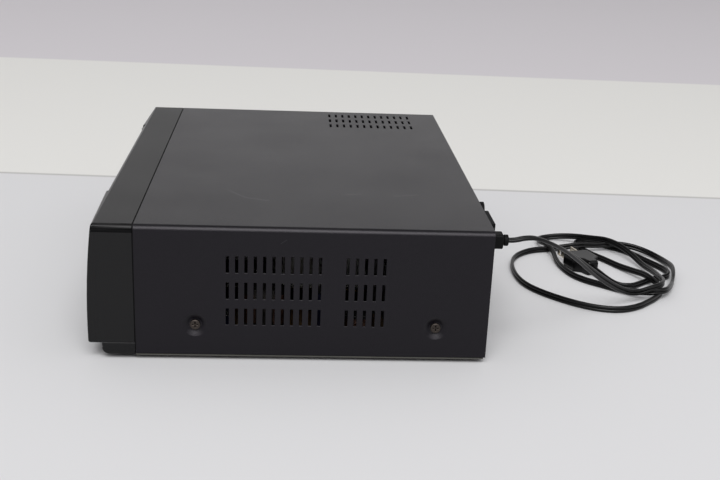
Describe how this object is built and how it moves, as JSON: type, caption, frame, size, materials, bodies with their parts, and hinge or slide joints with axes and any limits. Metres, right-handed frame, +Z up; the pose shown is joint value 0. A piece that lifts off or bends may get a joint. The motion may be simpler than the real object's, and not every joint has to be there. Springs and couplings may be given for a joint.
{
  "type": "video cassette recorder",
  "caption": "Slim front-loading video cassette recorder with hinged cassette door, push buttons, slotted steel cover, tape deck and a loose mains lead.",
  "frame": {"origin": "middle of the case at floor level, without the mains lead", "axes": "+X to the right seen from the front, -Y out of the front, +Z up"},
  "size_m": [0.36, 0.4765, 0.097],
  "materials": {
    "cover_paint": "fine matt texture",
    "tray_steel": "zinc plated",
    "foot_rubber": "matte",
    "screw_black": "black oxide",
    "panel_plastic": "matte",
    "bezel_gloss": "gloss",
    "skirt_plastic": "matte",
    "window_tint": "clear tinted",
    "display_glass": "smooth",
    "board_tan": "phenolic",
    "button_black": "satin gloss",
    "jack_plastic": "matte",
    "socket_metal": "nickel plated",
    "tin_plate": "tinned",
    "component_mixed": "mixed",
    "sink_aluminium": "extruded",
    "core_steel": "varnished laminations",
    "deck_steel": "zinc plated",
    "cast_alloy": "die cast",
    "drum_alloy": "turned",
    "guide_steel": "polished",
    "head_metal": "lapped",
    "brass_wheel": "turned",
    "pinch_rubber": "ground",
    "reel_plastic": "acetal",
    "gear_white": "acetal",
    "belt_rubber": "matte",
    "motor_can": "plated",
    "lift_steel": "zinc plated",
    "slider_plastic": "acetal",
    "gland_plastic": "satin",
    "cord_vinyl": "soft vinyl",
    "blade_brass": "nickel plated"
  },
  "bodies": {
    "recorder": {"bottom_tray": "tray_steel", "feet": "foot_rubber", "top_cover": "cover_paint", "case_screws": "screw_black", "rear_panel": "panel_plastic", "front_bezel": "bezel_gloss", "front_skirt": "skirt_plastic", "display_window": "window_tint", "display_module": "display_glass", "front_board": "board_tan", "av_jack_block": "jack_plastic", "socket_sleeves": "socket_metal", "aerial_shells": "socket_metal", "tuner_can": "tin_plate", "main_board": "board_tan", "main_components": "component_mixed", "heat_sinks": "sink_aluminium", "power_board": "board_tan", "transformer": "core_steel", "power_components": "component_mixed", "deck_plate": "deck_steel", "drum_base": "cast_alloy", "lower_drum": "drum_alloy", "erase_head": "head_metal", "audio_head": "head_metal", "drive_belt": "belt_rubber", "loading_motor": "motor_can", "carriage_frame": "lift_steel", "strain_relief": "gland_plastic", "power_cord": "cord_vinyl", "cord_pile": "cord_vinyl", "plug": "cord_vinyl", "plug_blades": "blade_brass"},
    "cassette_door": {"cassette_door": "bezel_gloss"},
    "power_button": {"power_button": "button_black"},
    "eject_button": {"eject_button": "button_black"},
    "channel_button": {"channel_button": "button_black"},
    "play_button": {"play_button": "button_black"},
    "stop_button": {"stop_button": "button_black"},
    "rewind_button": {"rewind_button": "button_black"},
    "forward_button": {"forward_button": "button_black"},
    "record_button": {"record_button": "button_black"},
    "pause_button": {"pause_button": "button_black"},
    "upper_drum": {"upper_drum": "drum_alloy"},
    "supply_guide": {"supply_guide": "guide_steel"},
    "takeup_guide": {"takeup_guide": "guide_steel"},
    "pinch_arm": {"pinch_arm": "deck_steel"},
    "pinch_roller": {"pinch_roller": "pinch_rubber"},
    "tension_arm": {"tension_arm": "deck_steel"},
    "supply_reel": {"supply_reel": "reel_plastic"},
    "takeup_reel": {"takeup_reel": "reel_plastic"},
    "clutch_pulley": {"clutch_pulley": "slider_plastic"},
    "idler_arm": {"idler_arm": "deck_steel"},
    "idler_gear": {"idler_gear": "gear_white"},
    "cam_gear": {"cam_gear": "gear_white"},
    "loading_worm": {"loading_worm": "gear_white"},
    "lift_sliders": {"lift_sliders": "slider_plastic"},
    "cassette_holder": {"cassette_holder": "lift_steel"},
    "capstan": {"capstan_shaft": "guide_steel", "flywheel": "brass_wheel"}
  },
  "joints": [
    {"name": "door_hinge", "type": "hinge", "parent": "recorder", "child": "cassette_door", "pos_m": [0, -0.1388, 0.0875], "axis": [1, 0, 0], "range_deg": [0, 85], "stiffness_Nm_per_rad": 0.004, "springref_deg": -28.65},
    {"name": "power_press", "type": "slide", "parent": "recorder", "child": "power_button", "axis": [0, 1, 0], "range_m": [0, 0.0008], "stiffness_N_per_m": 600, "springref_m": -0.0005},
    {"name": "eject_press", "type": "slide", "parent": "recorder", "child": "eject_button", "axis": [0, 1, 0], "range_m": [0, 0.0008], "stiffness_N_per_m": 600, "springref_m": -0.0005},
    {"name": "play_press", "type": "slide", "parent": "recorder", "child": "play_button", "axis": [0, 1, 0], "range_m": [0, 0.0008], "stiffness_N_per_m": 600, "springref_m": -0.0005},
    {"name": "stop_press", "type": "slide", "parent": "recorder", "child": "stop_button", "axis": [0, 1, 0], "range_m": [0, 0.0008], "stiffness_N_per_m": 600, "springref_m": -0.0005},
    {"name": "rewind_press", "type": "slide", "parent": "recorder", "child": "rewind_button", "axis": [0, 1, 0], "range_m": [0, 0.0008], "stiffness_N_per_m": 600, "springref_m": -0.0005},
    {"name": "forward_press", "type": "slide", "parent": "recorder", "child": "forward_button", "axis": [0, 1, 0], "range_m": [0, 0.0008], "stiffness_N_per_m": 600, "springref_m": -0.0005},
    {"name": "record_press", "type": "slide", "parent": "recorder", "child": "record_button", "axis": [0, 1, 0], "range_m": [0, 0.0008], "stiffness_N_per_m": 600, "springref_m": -0.0005},
    {"name": "pause_press", "type": "slide", "parent": "recorder", "child": "pause_button", "axis": [0, 1, 0], "range_m": [0, 0.0008], "stiffness_N_per_m": 600, "springref_m": -0.0005},
    {"name": "channel_rock", "type": "hinge", "parent": "recorder", "child": "channel_button", "pos_m": [-0.13996, -0.13907, 0.0395], "axis": [0, 0, 1], "range_deg": [-2, 2], "stiffness_Nm_per_rad": 0.2},
    {"name": "drum_spin", "type": "hinge", "parent": "recorder", "child": "upper_drum", "pos_m": [-0.006, 0.085, 0.031], "axis": [-0.0739, -0.0739, 0.9945], "continuous": true},
    {"name": "supply_reel_spin", "type": "hinge", "parent": "recorder", "child": "supply_reel", "pos_m": [-0.046, -0.012, 0.0275], "axis": [0, 0, 1], "continuous": true},
    {"name": "takeup_reel_spin", "type": "hinge", "parent": "recorder", "child": "takeup_reel", "pos_m": [0.046, -0.012, 0.0275], "axis": [0, 0, 1], "continuous": true},
    {"name": "capstan_spin", "type": "hinge", "parent": "recorder", "child": "capstan", "pos_m": [0.058, 0.05, 0.02], "axis": [0, 0, 1], "continuous": true},
    {"name": "clutch_spin", "type": "hinge", "parent": "recorder", "child": "clutch_pulley", "pos_m": [0, -0.03, 0.02], "axis": [0, 0, 1], "continuous": true},
    {"name": "idler_swing", "type": "hinge", "parent": "recorder", "child": "idler_arm", "pos_m": [0, -0.03, 0.027], "axis": [0, 0, 1], "range_deg": [-18, 18]},
    {"name": "idler_spin", "type": "hinge", "parent": "idler_arm", "child": "idler_gear", "pos_m": [0, -0.012, 0.0295], "axis": [0, 0, 1], "continuous": true},
    {"name": "cam_turn", "type": "hinge", "parent": "recorder", "child": "cam_gear", "pos_m": [-0.08, 0.084, 0.036], "axis": [0, 0, 1], "range_deg": [0, 270]},
    {"name": "supply_guide_run", "type": "slide", "parent": "recorder", "child": "supply_guide", "axis": [-0.1789, 0.9839, 0], "range_m": [0, 0.06708]},
    {"name": "takeup_guide_run", "type": "slide", "parent": "recorder", "child": "takeup_guide", "axis": [0.1789, 0.9839, 0], "range_m": [0, 0.06708]},
    {"name": "pinch_swing", "type": "hinge", "parent": "recorder", "child": "pinch_arm", "pos_m": [0.086, 0.051, 0.03], "axis": [0, 0, 1], "range_deg": [0, 62]},
    {"name": "pinch_spin", "type": "hinge", "parent": "pinch_arm", "child": "pinch_roller", "pos_m": [0.07994, 0.07215, 0.045], "axis": [0, 0, 1], "continuous": true},
    {"name": "tension_swing", "type": "hinge", "parent": "recorder", "child": "tension_arm", "pos_m": [-0.084, 0.026, 0.028], "axis": [0, 0, 1], "range_deg": [0, 35]},
    {"name": "worm_spin", "type": "hinge", "parent": "recorder", "child": "loading_worm", "pos_m": [-0.0987, 0.084, 0.0385], "axis": [0, 1, 0], "range_deg": [0, 2160]},
    {"name": "lift_run", "type": "slide", "parent": "recorder", "child": "lift_sliders", "axis": [0, -1, 0], "range_m": [-0.044, 0]},
    {"name": "lift_drop", "type": "slide", "parent": "lift_sliders", "child": "cassette_holder", "axis": [0, 0, 1], "range_m": [-0.024, 0]}
  ],
  "couplings": [
    {"joint": "clutch_spin", "follows": "capstan_spin", "ratio": 0.63158},
    {"joint": "supply_guide_run", "follows": "cam_turn", "m_per_rad": 0.014234},
    {"joint": "takeup_guide_run", "follows": "cam_turn", "m_per_rad": 0.014234},
    {"joint": "pinch_swing", "follows": "cam_turn", "ratio": 0.22961},
    {"joint": "tension_swing", "follows": "cam_turn", "ratio": 0.12962},
    {"joint": "worm_spin", "follows": "cam_turn", "ratio": 7.9992}
  ]
}
